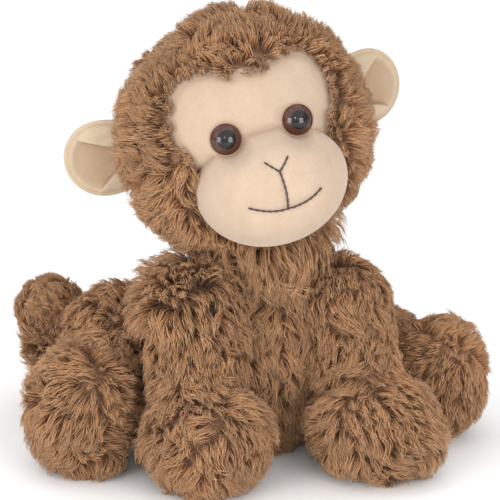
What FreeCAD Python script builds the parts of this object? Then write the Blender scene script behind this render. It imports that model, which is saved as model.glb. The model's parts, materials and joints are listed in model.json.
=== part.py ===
import FreeCAD, Part
import math
import os

from FreeCAD import Placement, Rotation, Vector

# A seated long-pile plush monkey, in millimetres.
# +Z is up, the toy faces -Y, and its own left side is +X.
# The origin is the centre of the flat seat, on the surface the toy sits on.
# A cover is the woven backing with its pile, so its outer face is the height of the pile.

ORIGIN = Vector(0, 0, 0)
X = Vector(1, 0, 0)
Y = Vector(0, 1, 0)
Z = Vector(0, 0, 1)
BIG = 600.0                # larger than the toy, for blocks and prisms that cut it

# ---- driving dimensions -------------------------------------------------
# Each rounded form is an ellipsoid of revolution: its axis, half its length and its radius.
PILE = 8.0                 # thickness of a fur cover, backing and pile together
GAP = 0.3                  # running gap between a cover and what turns in or on it
FIT = 0.3                  # gap between a cover and the stuffing that fills it
CLEAR = 0.5                # extra room pressed into the torso around each limb

TORSO_BELLY = Vector(0, 2, 55)
TORSO_BELLY_SEMI = (Z, 60, 47)
TORSO_CHEST = Vector(0, -8, 82)
TORSO_CHEST_SEMI = (X, 56, 36)
TORSO_SEAM_Y = -14.0       # the side seams lie in this plane
POUCH = Vector(0, 0, 22)
POUCH_SEMI = (Z, 13, 22)
POUCH_WALL = 1.0

NECK = Vector(0, -14, 127)
NECK_RADIUS = 30.0
NECK_HALF_HEIGHT = 20.0

HEAD_LEAN = 12.4           # degrees that the head leans to the toy's right
HEAD_RISE = 62.5           # neck pivot to head centre, along the head's own axis
HEAD_FORWARD = 4.0         # head centre in front of the neck pivot
HEAD_SEMI = (X, 72, 65)
GUSSET_HALF = 20.0         # half width of the centre strip over the crown

FACE_SEMI = (Y, 56, 64.5)   # the short-nap face lies lower than the pile around it
FACE_THICK = 2.0
BROW_Z = 22.0              # centre height of the two brow lobes
BROW_X = 21.5
BROW_RADIUS = 21.5
BROW_DIP_Z = 41.0
BROW_FOOT_ANGLE = -30.0    # where each lobe's arc starts and ends, up from sideways
BROW_TOP_ANGLE = 102.0
CHEEK_NOTCH = (34.0, 0.5)
MUZZLE = Vector(0, -46, -18)
MUZZLE_SEMI = (X, 41, 32)
MUZZLE_THICK = 2.0

EYE_X = 19.7
EYE_Z = 13.2
EYE_RADIUS = 8.2
EYE_DOME = 4.6             # height of the dome above its rim
EYE_RIM = 1.4
EYE_OUTWARD = 3.0          # degrees that each eye turns outwards
EYE_UPWARD = 10.0          # and upwards
PUPIL_RADIUS = 5.05
PUPIL_DEPTH = 3.6
SHANK_RADIUS = 2.25
SHANK_LENGTH = 13.0
WASHER_RADIUS = 8.0
WASHER_THICK = 1.6
WASHER_BACK = 4.6          # washer face behind the eye's rim

STITCH_HALF = 0.6
STITCH_HIGH = 0.55
NOSE_WING = (6.4, 1.6)
NOSE_POINT_Z = -4.5
MOUTH_Z = -24.6
MOUTH_HALF = 20.0
MOUTH_RADIUS = 39.0

EAR_HINGE = Vector(68.6, 15, 2)
EAR_SWEEP = 15.0           # degrees that the ear points backwards from sideways
EAR_RADIUS = 21.5
EAR_CENTRE = 8.5           # ear disc centre, outwards from its hinge line
EAR_HALF_THICK = 3.0
EAR_BEAD = 3.2
EAR_BEAD_HALF = 13.0
EAR_START = 4.6            # the disc begins this far from the hinge line

SHOULDER = Vector(44, -28, 90)
SHOULDER_RADIUS = 28.0
WRIST_RADIUS = 26.0
HAND_SEMI = (Z, 31, 36)
ARM_POSE = {               # wrist and hand centres as the toy sits
    "left": (Vector(47, -48, 46), Vector(50, -62, 29)),
    "right": (Vector(-46, -48, 46), Vector(-45, -62, 29)),
}
HAND_SEAM_Z = 22.0
ARM_RAISE = (0, 60)
ARM_SPREAD = (-6, 3)

HIP = Vector(46, 19, 50)
HIP_RADIUS = 28.0
ANKLE_RADIUS = 25.0
KNEE_STEP = 0.6            # the shin starts this much slimmer than the knee
FOOT_SEMI = (Z, 38, 32)
LEG_POSE = {               # knee, ankle and foot centres as the toy sits
    "left": (Vector(76, 16, 44), Vector(94, -2, 40), Vector(103, -13, 36)),
    "right": (Vector(-80, 14, 68), Vector(-100, -8, 46), Vector(-105, -20, 36)),
}
SOLE_FORWARD = 8.0         # sole seam, in front of the foot's centre
LEG_SWING = {"left": (-25, 0), "right": (-10, 0)}
THIGH_HOLLOW_LIFT = (0, 20)  # the torso's hollows leave both thighs this much lift

TAIL_ROOT = Vector(-4, 50, 34)
TAIL_BEND = Vector(-50, 86, 27)
TAIL_JOINT = Vector(-91, 82, 34)
TAIL_END = Vector(-111, 68, 67)
TAIL_RADIUS = 24.5
TAIL_SWING = (-18, 2)
TAIL_CURL = (-25, 15)

HEAD_TURN = Rotation(Y, -HEAD_LEAN)
HEAD_AT = NECK + HEAD_TURN.multVec(Vector(0, -HEAD_FORWARD, HEAD_RISE))
HEAD_FRAME = Placement(HEAD_AT, HEAD_TURN)


# ---- shape helpers ------------------------------------------------------
def ball(centre, radius):
    return Part.makeSphere(radius, centre)


def turned_solid(outline, frame):
    """An outline turned about its own Z axis as two half turns, then put in its frame."""
    front = Part.Face(outline).revolve(ORIGIN, Z, 180)
    solid = front.fuse(turned(front, ORIGIN, Z, 180)).Solids[0]
    return placed(solid, frame)


def ellipsoid(centre, semi, grow=0.0):
    """Solid ellipsoid of revolution, larger all round by grow."""
    axis, along, across = semi[0], semi[1] + grow, semi[2] + grow
    pole, side = Vector(0, 0, along), Vector(across, 0, 0)
    if along >= across:
        half = Part.ArcOfEllipse(Part.Ellipse(pole, side, ORIGIN), 0, math.pi)
    else:
        half = Part.ArcOfEllipse(Part.Ellipse(side, pole, ORIGIN), -math.pi / 2, math.pi / 2)
    outline = Part.Wire([half.toNurbs().toShape(), Part.LineSegment(-pole, pole).toShape()])
    return turned_solid(outline, Placement(centre, Rotation(Z, axis)))


def capsule(start, end, start_radius, end_radius):
    """Two spheres and the cone that is tangent to both, as one turned solid."""
    along = end - start
    length = along.Length
    lean = math.asin((start_radius - end_radius) / length)
    up, out = math.sin(lean), math.cos(lean)
    low = Vector(start_radius * out, 0, start_radius * up)
    high = Vector(end_radius * out, 0, length + end_radius * up)
    half = math.pi / 4
    low_mid = Vector(start_radius * math.cos(lean / 2 - half), 0,
                     start_radius * math.sin(lean / 2 - half))
    high_mid = Vector(end_radius * math.cos(lean / 2 + half), 0,
                      length + end_radius * math.sin(lean / 2 + half))
    bottom = Vector(0, 0, -start_radius)
    top = Vector(0, 0, length + end_radius)
    outline = Part.Wire([
        Part.Arc(bottom, low_mid, low).toShape(),
        Part.LineSegment(low, high).toShape(),
        Part.Arc(high, high_mid, top).toShape(),
        Part.LineSegment(top, bottom).toShape(),
    ])
    return turned_solid(outline, Placement(start, Rotation(Z, along)))


def half_space(point, normal):
    """A large block that covers everything on the normal's side of a plane."""
    block = Part.makeBox(BIG, BIG, BIG, Vector(-BIG / 2, -BIG / 2, 0))
    block.Placement = Placement(point, Rotation(Z, normal)).multiply(block.Placement)
    return block


def mirrored(point, side):
    return point if side == "left" else Vector(-point.x, point.y, point.z)


def placed(shape, frame):
    copy = shape.copy()
    copy.Placement = frame.multiply(copy.Placement)
    return copy


def turned(shape, centre, axis, degrees):
    copy = shape.copy()
    copy.rotate(centre, axis, degrees)
    return copy


def above_floor(shape):
    return shape.common(half_space(ORIGIN, Z))


def one_solid(shape):
    """The largest solid of a boolean result, without stray slivers."""
    return max(shape.Solids, key=lambda solid: solid.Volume)


def save(name, shape):
    shape.exportStep("parts/%s.step" % name)
    print(name, len(shape.Solids), round(shape.Volume), shape.isValid())


# ---- limbs: each returns its outer shape for a given growth --------------
def arm_form(side, grow=0.0):
    wrist = ARM_POSE[side][0]
    return capsule(mirrored(SHOULDER, side), wrist, SHOULDER_RADIUS + grow, WRIST_RADIUS + grow)


def hand_form(side, grow=0.0):
    return ellipsoid(ARM_POSE[side][1], HAND_SEMI, grow)


def thigh_form(side, grow=0.0):
    knee = LEG_POSE[side][0]
    return capsule(mirrored(HIP, side), knee, HIP_RADIUS + grow, HIP_RADIUS + grow)


def leg_form(side, grow=0.0):
    knee, ankle, _ = LEG_POSE[side]
    shin = capsule(knee, ankle, HIP_RADIUS - KNEE_STEP + grow, ANKLE_RADIUS + grow)
    return thigh_form(side, grow).fuse(shin)


def foot_form(side, grow=0.0):
    return ellipsoid(LEG_POSE[side][2], FOOT_SEMI, grow)


def tail_base_form(grow=0.0):
    first = capsule(TAIL_ROOT, TAIL_BEND, TAIL_RADIUS + grow, TAIL_RADIUS + grow)
    second = capsule(TAIL_BEND, TAIL_JOINT, TAIL_RADIUS - KNEE_STEP + grow,
                     TAIL_RADIUS - KNEE_STEP + grow)
    return first.fuse(second)


def tail_tip_form(grow=0.0):
    return capsule(TAIL_JOINT, TAIL_END, TAIL_RADIUS + grow, TAIL_RADIUS + grow)


# ---- torso ---------------------------------------------------------------
def torso_form(grow=0.0):
    belly = ellipsoid(TORSO_BELLY, TORSO_BELLY_SEMI, grow)
    chest = ellipsoid(TORSO_CHEST, TORSO_CHEST_SEMI, grow)
    return belly.fuse(chest)


def arm_axes(side):
    outward = -1 if side == "left" else 1
    return -X, Y * outward


def leg_axes(side):
    outward = -1 if side == "left" else 1
    return Z * outward, Y * outward


def torso_room():
    """Everything that the limbs, neck and tail take out of the torso as they move."""
    room = [ball(NECK, NECK_RADIUS + GAP)]
    for side in ("left", "right"):
        shoulder, hip = mirrored(SHOULDER, side), mirrored(HIP, side)
        raise_axis, spread_axis = arm_axes(side)
        swing_axis, lift_axis = leg_axes(side)
        upper_arm = arm_form(side, CLEAR)
        hand = hand_form(side, CLEAR)
        thigh = thigh_form(side, CLEAR)
        for raised in ARM_RAISE:
            for spread in ARM_SPREAD:
                moved = turned(upper_arm, shoulder, spread_axis, spread)
                room.append(turned(moved, shoulder, raise_axis, raised))
        for spread in (0,) + ARM_SPREAD:
            room.append(turned(hand, shoulder, spread_axis, spread))
        for swung in LEG_SWING[side]:
            for lifted in THIGH_HOLLOW_LIFT:
                moved = turned(thigh, hip, lift_axis, lifted)
                room.append(turned(moved, hip, swing_axis, swung))
    tail = capsule(TAIL_ROOT, TAIL_BEND, TAIL_RADIUS + CLEAR, TAIL_RADIUS + CLEAR)
    for swung in TAIL_SWING:
        room.append(turned(tail, TAIL_ROOT, Z, swung))
    return room


def build_torso():
    room = torso_room()
    inner = torso_form(-PILE)
    cover = above_floor(torso_form()).cut(inner)
    stuffing = torso_form(-PILE - FIT)
    for shape in room:
        cover = cover.cut(shape)
        stuffing = stuffing.cut(shape)
    pouch = ellipsoid(POUCH, POUCH_SEMI)
    front = half_space(Vector(0, TORSO_SEAM_Y, 0), -Y)
    save("torso_front_panel", one_solid(cover.common(front)))
    save("torso_back_panel", one_solid(cover.cut(front)))
    save("torso_stuffing", one_solid(stuffing.cut(ellipsoid(POUCH, POUCH_SEMI, FIT))))
    save("seat_pouch", pouch.cut(ellipsoid(POUCH, POUCH_SEMI, -POUCH_WALL)))
    save("pouch_pellets", ellipsoid(POUCH, POUCH_SEMI, -POUCH_WALL - FIT))


# ---- neck ----------------------------------------------------------------
def build_neck():
    low = half_space(NECK - Z * NECK_HALF_HEIGHT, -Z)
    high = half_space(NECK + Z * NECK_HALF_HEIGHT, Z)
    band = ball(NECK, NECK_RADIUS).cut(ball(NECK, NECK_RADIUS - PILE))
    save("neck_cover", band.cut(low).cut(high))
    save("neck_stuffing", ball(NECK, NECK_RADIUS - PILE - GAP))


# ---- head: modelled upright about its own centre, then leaned over --------
def place_head(shape):
    return placed(shape, HEAD_FRAME)


def front_prism(face):
    """Everything in front of an outline that lies in the head's X-Z plane."""
    return face.extrude(Vector(0, -BIG / 2, 0))


def brow_outline():
    """Two brow lobes with a shallow dip between them, closed below by the cheeks."""
    dip = Vector(0, 0, BROW_DIP_Z)
    notch_x, notch_z = CHEEK_NOTCH

    def on_lobe(side, degrees):
        angle = math.radians(degrees)
        return Vector(side * (BROW_X + BROW_RADIUS * math.cos(angle)), 0,
                      BROW_Z + BROW_RADIUS * math.sin(angle))

    def lobe_points(side):
        middle = (BROW_FOOT_ANGLE + BROW_TOP_ANGLE) / 2
        return [on_lobe(side, degrees) for degrees in (BROW_FOOT_ANGLE, middle, BROW_TOP_ANGLE)]

    right_foot = Vector(notch_x, 0, notch_z)
    left_foot = Vector(-notch_x, 0, notch_z)
    right, left = lobe_points(1), lobe_points(-1)
    edges = [
        Part.LineSegment(left_foot, right_foot).toShape(),
        Part.LineSegment(right_foot, right[0]).toShape(),
        Part.Arc(*right).toShape(),
        Part.LineSegment(right[2], dip).toShape(),
        Part.LineSegment(dip, left[2]).toShape(),
        Part.Arc(*reversed(left)).toShape(),
        Part.LineSegment(left[0], left_foot).toShape(),
    ]
    return Part.Face(Part.Wire(edges))


def muzzle_outline():
    rim = Part.Ellipse(ORIGIN, MUZZLE_SEMI[1], MUZZLE_SEMI[2])
    face = Part.Face(Part.Wire(rim.toShape()))
    face.rotate(ORIGIN, X, 90)
    face.translate(Vector(0, 0, MUZZLE.z))
    return face


def eye_frame(side):
    """Places an eye, modelled along +Z, on the face and looking out of it."""
    sign = 1 if side == "left" else -1
    _, front, across = FACE_SEMI
    depth = front * math.sqrt(1 - (EYE_X / across) ** 2 - (EYE_Z / across) ** 2)
    look = Rotation(Z, sign * EYE_OUTWARD).multiply(Rotation(X, 90 - EYE_UPWARD))
    return Placement(Vector(sign * EYE_X, -depth, EYE_Z), look)


def eye_solids():
    """Cap, pupil, shank and washer of one safety eye, looking along +Z."""
    bulge = (EYE_RADIUS ** 2 + EYE_DOME ** 2) / (2 * EYE_DOME)
    dome = Part.makeSphere(bulge, Vector(0, 0, EYE_DOME - bulge))
    dome = dome.common(half_space(ORIGIN, Z))
    rim = Part.makeCylinder(EYE_RADIUS, EYE_RIM, Vector(0, 0, -EYE_RIM))
    cap = dome.fuse(rim)
    well = Part.makeCylinder(PUPIL_RADIUS, BIG, Vector(0, 0, EYE_DOME - PUPIL_DEPTH))
    pupil = cap.common(well)
    shank = Part.makeCylinder(SHANK_RADIUS, SHANK_LENGTH, Vector(0, 0, -EYE_RIM - SHANK_LENGTH))
    washer = Part.makeCylinder(WASHER_RADIUS, WASHER_THICK, Vector(0, 0, -WASHER_BACK - WASHER_THICK))
    washer = washer.cut(Part.makeCylinder(SHANK_RADIUS, BIG, Vector(0, 0, -BIG / 2)))
    return cap.cut(well), pupil, shank, washer


def stroke(points):
    """A flat rounded stroke of the stitch's width through points in the X-Z plane."""
    shape = None
    for start, end in zip(points, points[1:]):
        a, b = Vector(start[0], 0, start[1]), Vector(end[0], 0, end[1])
        run = b - a
        side = Y.cross(run).normalize() * STITCH_HALF
        corners = [a + side, b + side, b - side, a - side]
        lines = [Part.LineSegment(corners[i], corners[(i + 1) % 4]).toShape() for i in range(4)]
        pieces = [Part.Face(Part.Wire(lines)).extrude(Vector(0, -BIG / 2, 0))]
        pieces += [Part.makeCylinder(STITCH_HALF, BIG / 2, end_point, -Y) for end_point in (a, b)]
        for piece in pieces:
            shape = piece if shape is None else shape.fuse(piece)
    return shape


def mouth_stroke():
    centre = Vector(0, 0, MOUTH_Z + MOUTH_RADIUS)
    outer = Part.makeCylinder(MOUTH_RADIUS + STITCH_HALF, BIG / 2, centre, -Y)
    inner = Part.makeCylinder(MOUTH_RADIUS - STITCH_HALF, BIG / 2, centre, -Y)
    window = Part.makeBox(2 * MOUTH_HALF, BIG / 2, MOUTH_RADIUS / 2,
                          Vector(-MOUTH_HALF, -BIG / 2, MOUTH_Z - 2 * STITCH_HALF))
    return outer.cut(inner).common(window)


def ear_frame(side):
    """The ear's own frame: +X outwards from its hinge line, +Z along that line."""
    sign = 1 if side == "left" else -1
    hinge = Vector(sign * EAR_HINGE.x, EAR_HINGE.y, EAR_HINGE.z)
    turn = EAR_SWEEP if side == "left" else 180 - EAR_SWEEP
    return Placement(hinge, Rotation(Z, turn))


def ear_solid():
    """Ear disc with its sewn root, about the hinge line, outwards along +X."""
    disc = Part.makeCylinder(EAR_RADIUS, 2 * EAR_HALF_THICK,
                             Vector(EAR_CENTRE, -EAR_HALF_THICK, 0), Y)
    disc = disc.common(half_space(Vector(EAR_START, 0, 0), X))
    bead = Part.makeCylinder(EAR_BEAD, 2 * EAR_BEAD_HALF, Vector(0, 0, -EAR_BEAD_HALF))
    web_half = EAR_BEAD / 2
    web = Part.makeBox(EAR_START + 1, 2 * web_half, 2 * EAR_BEAD_HALF,
                       Vector(0, -web_half, -EAR_BEAD_HALF))
    return disc.fuse(web).fuse(bead)


def build_head():
    skin = ellipsoid(ORIGIN, HEAD_SEMI)
    face_form = ellipsoid(ORIGIN, FACE_SEMI)
    face_back = ellipsoid(ORIGIN, FACE_SEMI, -FACE_THICK)
    muzzle = ellipsoid(MUZZLE, MUZZLE_SEMI)
    neck_socket = ball(HEAD_FRAME.inverse().multVec(NECK), NECK_RADIUS + GAP)
    cap, pupil, shank, washer = eye_solids()

    cover = skin.cut(ellipsoid(ORIGIN, HEAD_SEMI, -PILE))
    cover = cover.cut(front_prism(brow_outline())).cut(front_prism(muzzle_outline()))
    cover = cover.cut(neck_socket)
    stuffing = ellipsoid(ORIGIN, HEAD_SEMI, -PILE - FIT).common(
        ellipsoid(ORIGIN, FACE_SEMI, -FACE_THICK - FIT))
    stuffing = stuffing.cut(neck_socket)
    face = face_form.cut(face_back).common(front_prism(brow_outline())).cut(muzzle)
    muzzle_cover = muzzle.cut(ellipsoid(MUZZLE, MUZZLE_SEMI, -MUZZLE_THICK)).cut(face_form)
    muzzle_fill = ellipsoid(MUZZLE, MUZZLE_SEMI, -MUZZLE_THICK - FIT)
    muzzle_fill = muzzle_fill.cut(ellipsoid(ORIGIN, FACE_SEMI, FIT))

    groove = Part.makeCylinder(EAR_BEAD + GAP, 2 * (EAR_BEAD_HALF + GAP),
                               Vector(0, 0, -EAR_BEAD_HALF - GAP))
    eye_room = Part.makeCylinder(EYE_RADIUS + FIT, BIG / 4, Vector(0, 0, -EYE_RIM - FIT))
    hardware = {"eye_shanks": [], "eye_washers": []}
    for side in ("left", "right"):
        slot = placed(groove, ear_frame(side))
        cover = cover.cut(slot)
        stuffing = stuffing.cut(slot)
        eye = eye_frame(side)
        eyeball = placed(cap.fuse(pupil), eye)
        face = face.cut(placed(shank, eye)).cut(eyeball)
        muzzle_cover = muzzle_cover.cut(eyeball)
        muzzle_fill = muzzle_fill.cut(placed(eye_room, eye))
        stuffing = stuffing.cut(eyeball).cut(placed(shank, eye)).cut(placed(washer, eye))
        save("eye_cap_" + side, place_head(placed(cap, eye)))
        save("eye_pupil_" + side, place_head(placed(pupil, eye)))
        hardware["eye_shanks"].append(place_head(placed(shank, eye)))
        hardware["eye_washers"].append(place_head(placed(washer, eye)))
    for name, solids in hardware.items():
        save(name, Part.makeCompound(solids))

    strip = Part.makeBox(2 * GUSSET_HALF, BIG, BIG, Vector(-GUSSET_HALF, -BIG / 2, 0))
    strip = strip.fuse(Part.makeBox(2 * GUSSET_HALF, BIG / 2, BIG,
                                    Vector(-GUSSET_HALF, 0, -BIG / 2)))
    sides = cover.cut(strip)
    left_half = half_space(ORIGIN, X)
    save("head_gusset", place_head(one_solid(cover.common(strip))))
    save("head_panel_left", place_head(one_solid(sides.common(left_half))))
    save("head_panel_right", place_head(one_solid(sides.cut(left_half))))
    save("head_stuffing", place_head(one_solid(stuffing)))
    save("face_panel", place_head(one_solid(face)))
    save("muzzle_panel", place_head(one_solid(muzzle_cover)))
    save("muzzle_stuffing", place_head(one_solid(muzzle_fill)))

    thread = ellipsoid(MUZZLE, MUZZLE_SEMI, STITCH_HIGH).cut(muzzle)
    thread = thread.common(half_space(MUZZLE, -Y))
    wing_x, wing_z = NOSE_WING
    nose = stroke([(-wing_x, wing_z), (0, NOSE_POINT_Z)])
    nose = nose.fuse(stroke([(wing_x, wing_z), (0, NOSE_POINT_Z), (0, MOUTH_Z + 2 * STITCH_HALF)]))
    smile = mouth_stroke()
    save("nose_stitching", place_head(one_solid(thread.common(nose.cut(smile)))))
    save("mouth_stitching", place_head(one_solid(thread.common(smile))))

    ear = ear_solid()
    for side in ("left", "right"):
        frame = ear_frame(side)
        front = half_space(ORIGIN, -Y if side == "left" else Y)
        save("ear_front_" + side, place_head(placed(one_solid(ear.common(front)), frame)))
        save("ear_back_" + side, place_head(placed(one_solid(ear.cut(front)), frame)))


# ---- arms and legs ---------------------------------------------------------
def build_arm(side):
    shoulder = mirrored(SHOULDER, side)
    wrist = ARM_POSE[side][0]
    seam = (wrist - shoulder).cross(X).normalize()
    front = half_space(shoulder, seam if seam.y < 0 else -seam)
    hand = hand_form(side)
    hand_inner = hand_form(side, -PILE)
    cover = arm_form(side).cut(arm_form(side, -PILE)).cut(hand)
    core = ball(shoulder, SHOULDER_RADIUS - PILE + FIT / 2)
    stuffing = arm_form(side, -PILE - FIT).cut(core).cut(hand_form(side, -PILE))
    save("arm_front_panel_" + side, one_solid(cover.common(front)))
    save("arm_back_panel_" + side, one_solid(cover.cut(front)))
    save("arm_stuffing_" + side, one_solid(stuffing))
    save("shoulder_stuffing_" + side, ball(shoulder, SHOULDER_RADIUS - PILE - GAP))

    hand_cover = above_floor(hand).cut(hand_inner).cut(arm_form(side, -PILE))
    top = half_space(Vector(0, 0, HAND_SEAM_Z), Z)
    save("hand_top_" + side, one_solid(hand_cover.common(top)))
    save("hand_palm_" + side, one_solid(hand_cover.cut(top)))
    save("hand_stuffing_" + side, hand_form(side, -PILE - FIT))


def build_leg(side):
    hip = mirrored(HIP, side)
    foot_at = LEG_POSE[side][2]
    foot = foot_form(side)
    cover = leg_form(side).cut(leg_form(side, -PILE)).cut(foot)
    core = ball(hip, HIP_RADIUS - PILE + FIT / 2)
    stuffing = leg_form(side, -PILE - FIT).cut(core).cut(foot_form(side, -PILE))
    upper = half_space(Vector(0, 0, hip.z), Z)
    save("leg_upper_panel_" + side, one_solid(cover.common(upper)))
    save("leg_lower_panel_" + side, one_solid(cover.cut(upper)))
    save("leg_stuffing_" + side, one_solid(stuffing))
    save("hip_stuffing_" + side, ball(hip, HIP_RADIUS - PILE - GAP))

    foot_cover = above_floor(foot).cut(foot_form(side, -PILE)).cut(leg_form(side, -PILE))
    sole = half_space(foot_at - Y * SOLE_FORWARD, -Y)
    save("foot_sole_" + side, one_solid(foot_cover.common(sole)))
    save("foot_heel_" + side, one_solid(foot_cover.cut(sole)))
    save("foot_stuffing_" + side, foot_form(side, -PILE - FIT))


# ---- tail -------------------------------------------------------------------
def build_tail():
    socket = ball(TAIL_JOINT, TAIL_RADIUS + GAP)
    base = tail_base_form().cut(tail_base_form(-PILE)).cut(socket)
    base_fill = tail_base_form(-PILE - FIT).cut(socket)
    for curl in TAIL_CURL:
        swept = turned(tail_tip_form(CLEAR), TAIL_JOINT, Y, curl)
        base = base.cut(swept)
        base_fill = base_fill.cut(swept)
    save("tail_base_cover", one_solid(base))
    save("tail_base_stuffing", one_solid(base_fill))
    save("tail_tip_cover", tail_tip_form().cut(tail_tip_form(-PILE)))
    save("tail_tip_stuffing", tail_tip_form(-PILE - FIT))


os.makedirs("parts", exist_ok=True)
build_torso()
build_neck()
build_head()
for side in ("left", "right"):
    build_arm(side)
    build_leg(side)
build_tail()
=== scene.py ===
import json
import math

import bmesh
import bpy
import numpy as np
from mathutils import Matrix, Vector
from mathutils.bvhtree import BVHTree


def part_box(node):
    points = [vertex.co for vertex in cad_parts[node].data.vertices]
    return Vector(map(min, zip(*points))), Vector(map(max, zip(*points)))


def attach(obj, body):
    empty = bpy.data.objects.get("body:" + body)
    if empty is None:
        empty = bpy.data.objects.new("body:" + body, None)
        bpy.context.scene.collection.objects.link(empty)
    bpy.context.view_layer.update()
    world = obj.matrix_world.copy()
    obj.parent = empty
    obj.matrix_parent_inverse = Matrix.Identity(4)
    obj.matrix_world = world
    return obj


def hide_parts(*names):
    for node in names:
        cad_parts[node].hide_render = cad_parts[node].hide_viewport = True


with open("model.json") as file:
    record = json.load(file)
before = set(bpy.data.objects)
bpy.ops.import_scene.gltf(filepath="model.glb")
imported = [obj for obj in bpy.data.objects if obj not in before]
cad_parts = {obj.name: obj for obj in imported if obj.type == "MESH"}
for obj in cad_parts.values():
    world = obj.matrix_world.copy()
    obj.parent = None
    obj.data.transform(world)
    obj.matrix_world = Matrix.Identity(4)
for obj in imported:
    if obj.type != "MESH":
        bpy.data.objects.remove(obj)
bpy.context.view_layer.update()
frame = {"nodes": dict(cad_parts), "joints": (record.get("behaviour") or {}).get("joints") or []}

# A seated long-pile plush monkey. Metres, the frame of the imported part:
# +Z up, the toy faces -Y, its own left side is +X.
MM = 0.001
SIDES = {"left": 1, "right": -1}
JOINTS = {joint["name"]: joint for joint in frame["joints"]}

# ---- fur ------------------------------------------------------------------
SKIN_VOXEL = 3.0 * MM       # grid of the cloth backing under the pile
SKIN_GROW = 2.2 * MM        # backing outside the stuffing
LOCK_SPACING = 3.1 * MM     # one lock of strands per cell of this size
TUFT_SPACING = 15.0 * MM    # locks lean together into tufts about this far apart
STRANDS = 8                 # strands in a lock
STRAND_RADIUS = 0.215 * MM
STRAND_POINTS = 4
PIECE_STRANDS = 12400       # strands in one piece, so that no mesh gets too large
ROOT_DEPTH = 0.8 * MM       # strands start this far inside the backing
FLOOR_GAP = 0.4 * MM
CLOTH_FRAMES = 20
CLOTH_MASS = 0.0005         # of each point of the mesh
CLOTH_STRETCH = 3.0
CLOTH_SHEAR = 1.5
CLOTH_BEND = 0.0005

# ---- face, in the head's own frame (millimetres about its centre) -----------
HEAD_RISE = 62.5
HEAD_FORWARD = 4.0
FACE_DEPTH = 56.0           # semi-axis of the face form, forwards
FACE_ACROSS = 64.5
BROW_LOBES = ((-21.5, 22.0, 21.5), (0.0, 19.5, 21.5), (21.5, 22.0, 21.5))
CHEEK_TOP = (40.1, 11.3)
CHEEK_NOTCH = (34.0, 0.5)
MUZZLE_AT = (-46.0, -18.0)  # forwards and up from the head's centre
MUZZLE_SEMI = (41.0, 32.0)  # across, and both upwards and forwards
EYE_AT = (19.7, 13.2)
EYE_RADIUS = 8.2
EYE_OUTWARD = 3.0           # degrees
EYE_UPWARD = 10.0
EYE_SEAT = 0.8              # the cloth meets the eye this far behind its edge
NOSE_WING = (6.4, 1.6)
NOSE_POINT = -4.5
MOUTH_LOW = -24.6
MOUTH_HALF = 20.0
MOUTH_RADIUS = 39.0
STITCH_LENGTH = 3.4
THREAD_RADIUS = 0.55
MUZZLE_PRESSURE = 6000.0    # high, because the mesh is fine and the piece is small
MUZZLE_PUFF = 1.6 * MM      # the furthest that the pressure may move its cloth
EAR_HINGE = (68.6, 15.0, 2.0)
EAR_SWEEP = 15.0            # degrees that the ear points backwards from sideways
EAR_RADIUS = 21.5
EAR_CENTRE = 8.5
EAR_CLOTH = 0.6


# ---- small maths helpers ------------------------------------------------------
def unit(v):
    return v / np.maximum(np.linalg.norm(v, axis=-1, keepdims=True), 1e-12)


def onto(v, n):
    """v without its part along the unit normals n, as unit vectors."""
    return unit(v - n * np.sum(v * n, axis=-1, keepdims=True))


def waves(p, scale, seed):
    """Smooth pseudo-random vectors in about -1..1, from a few crossed sine waves."""
    rng = np.random.default_rng(seed)
    total = np.zeros_like(p)
    for octave in range(4):
        directions = unit(rng.normal(size=(3, 3))) * (1.0 + 0.55 * octave)
        phases = rng.uniform(0, 2 * math.pi, 3)
        total += np.sin(p @ directions.T * (2 * math.pi / scale) + phases) / (1.0 + 0.5 * octave)
    return total / 2.2


def joint_at(name):
    return np.array(JOINTS[name]["pos_m"], float)


def box_centre(node):
    low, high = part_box(node)
    return (np.array(low) + np.array(high)) / 2


HEAD_UP = unit(np.array(JOINTS["neck_turn"]["axis"], float))
HEAD_SIDE = unit(np.cross([0.0, 1.0, 0.0], HEAD_UP))
HEAD_BACK = np.cross(HEAD_UP, HEAD_SIDE)
HEAD_AT = joint_at("neck_turn") + (HEAD_UP * HEAD_RISE - HEAD_BACK * HEAD_FORWARD) * MM
HEAD_AXES = np.array([HEAD_SIDE, HEAD_BACK, HEAD_UP])


def from_head(p):
    """Points in the head's frame, in millimetres, to the row frame in metres."""
    return HEAD_AT + np.asarray(p, float) * MM @ HEAD_AXES


def to_head(p):
    return (np.asarray(p, float) - HEAD_AT) @ HEAD_AXES.T / MM


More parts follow.
